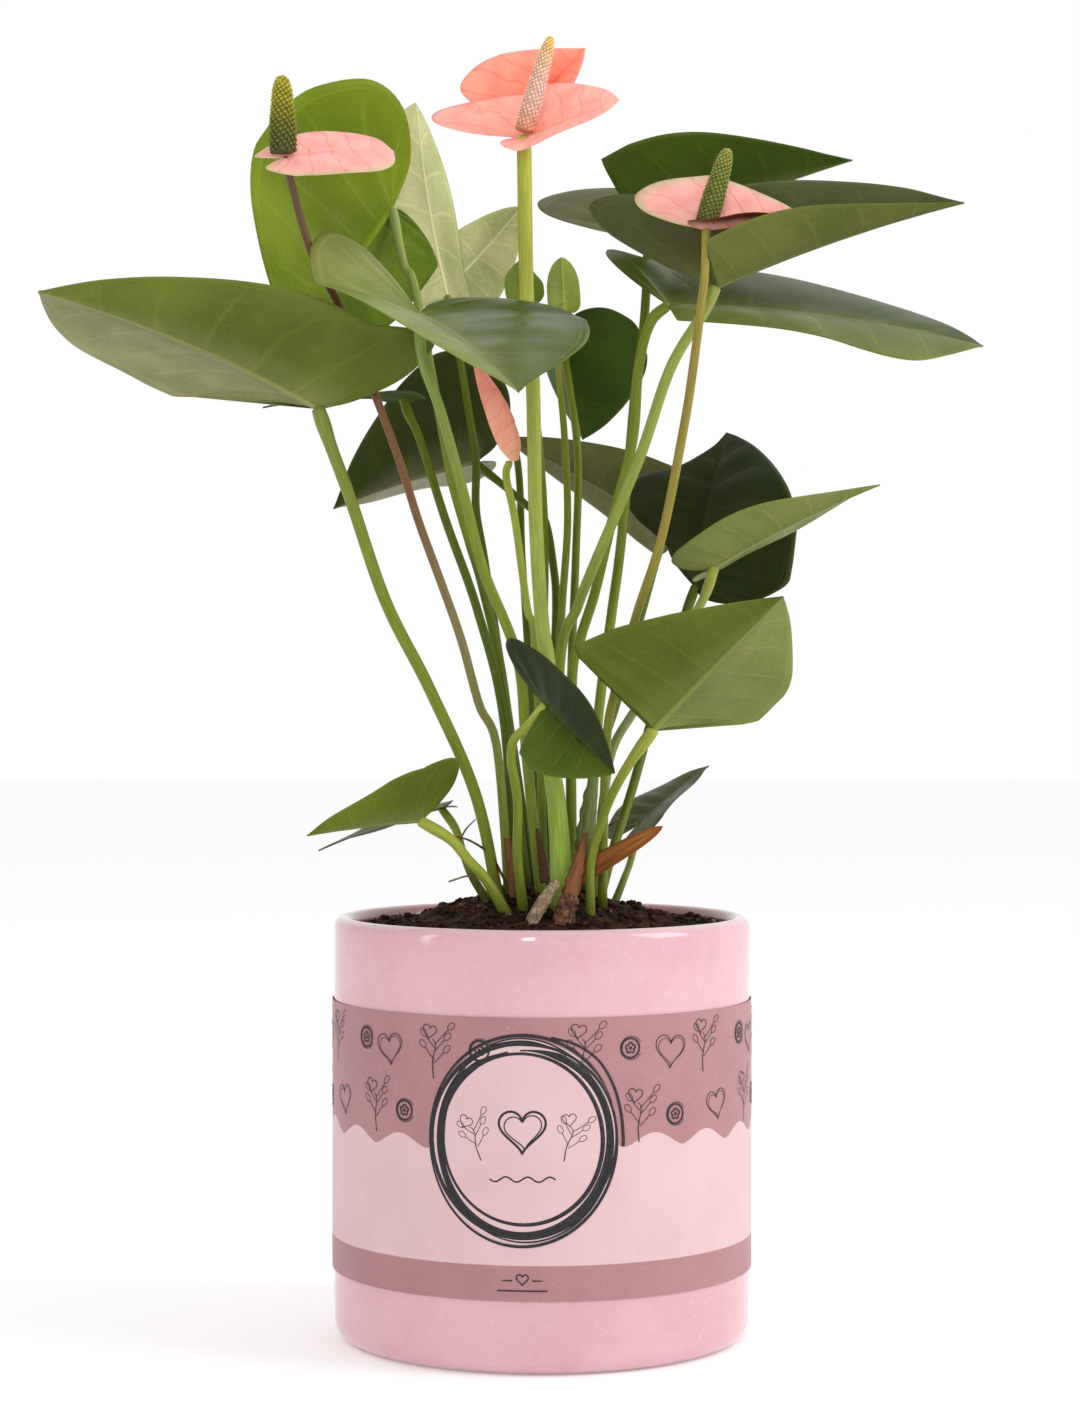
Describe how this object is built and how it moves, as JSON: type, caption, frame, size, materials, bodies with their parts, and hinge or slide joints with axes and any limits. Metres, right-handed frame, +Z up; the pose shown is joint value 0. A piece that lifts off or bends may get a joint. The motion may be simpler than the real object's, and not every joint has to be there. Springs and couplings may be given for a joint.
{
  "type": "potted anthurium",
  "caption": "Living anthurium with heart-shaped leaves and pink flowers, in a glossy pink cylinder pot with a printed paper sleeve. It stands on a table, shelf or sill.",
  "frame": {"origin": "centre of the pot's flat underside, on the surface it stands on", "axes": "+Z up along the pot's axis; -Y is the front, where the printed ring is; +X is to the right as seen from the front"},
  "size_m": [0.3122, 0.2156, 0.4381],
  "materials": {
    "pink_glaze": "gloss",
    "printed_paper": "matte",
    "peat_soil": "matte",
    "leaf_green": "satin",
    "stalk_green": "satin",
    "stalk_brown": "satin",
    "spathe_pink": "satin",
    "spathe_salmon": "satin",
    "spadix_green": "matte",
    "spadix_pink": "matte",
    "root_bark": "matte",
    "root_stub": "matte",
    "dry_sheath": "matte"
  },
  "bodies": {
    "root": {"pot": "pink_glaze", "paper_sleeve": "printed_paper", "soil": "peat_soil", "leaf_01": "leaf_green", "leaf_02": "leaf_green", "leaf_03": "leaf_green", "leaf_04": "leaf_green", "leaf_05": "leaf_green", "leaf_06": "leaf_green", "leaf_07": "leaf_green", "leaf_08": "leaf_green", "leaf_09": "leaf_green", "leaf_10": "leaf_green", "leaf_11": "leaf_green", "leaf_12": "leaf_green", "leaf_13": "leaf_green", "leaf_14": "leaf_green", "leaf_15": "leaf_green", "leaf_16": "leaf_green", "leaf_17": "leaf_green", "leaf_18": "leaf_green", "leaf_19": "leaf_green", "leaf_20": "leaf_green", "leaf_21": "leaf_green", "petiole_01": "stalk_green", "petiole_02": "stalk_green", "petiole_03": "stalk_green", "petiole_04": "stalk_green", "petiole_05": "stalk_green", "petiole_06": "stalk_green", "petiole_07": "stalk_green", "petiole_08": "stalk_green", "petiole_09": "stalk_green", "petiole_10": "stalk_green", "petiole_11": "stalk_green", "petiole_12": "stalk_green", "petiole_13": "stalk_green", "petiole_14": "stalk_green", "petiole_15": "stalk_green", "petiole_16": "stalk_green", "petiole_17": "stalk_green", "petiole_18": "stalk_green", "petiole_19": "stalk_green", "petiole_20": "stalk_green", "petiole_21": "stalk_green", "peduncle_a": "stalk_brown", "peduncle_b": "stalk_green", "peduncle_c": "stalk_brown", "spathe_a": "spathe_pink", "spathe_b": "spathe_pink", "spathe_c": "spathe_pink", "bract_b": "spathe_salmon", "spadix_a": "spadix_green", "spadix_b": "spadix_pink", "spadix_c": "spadix_green", "bud_stalk": "stalk_green", "bud": "spathe_pink", "crown_stump": "root_bark", "root_stub": "root_stub", "dry_sheath": "dry_sheath"}
  },
  "joints": []
}
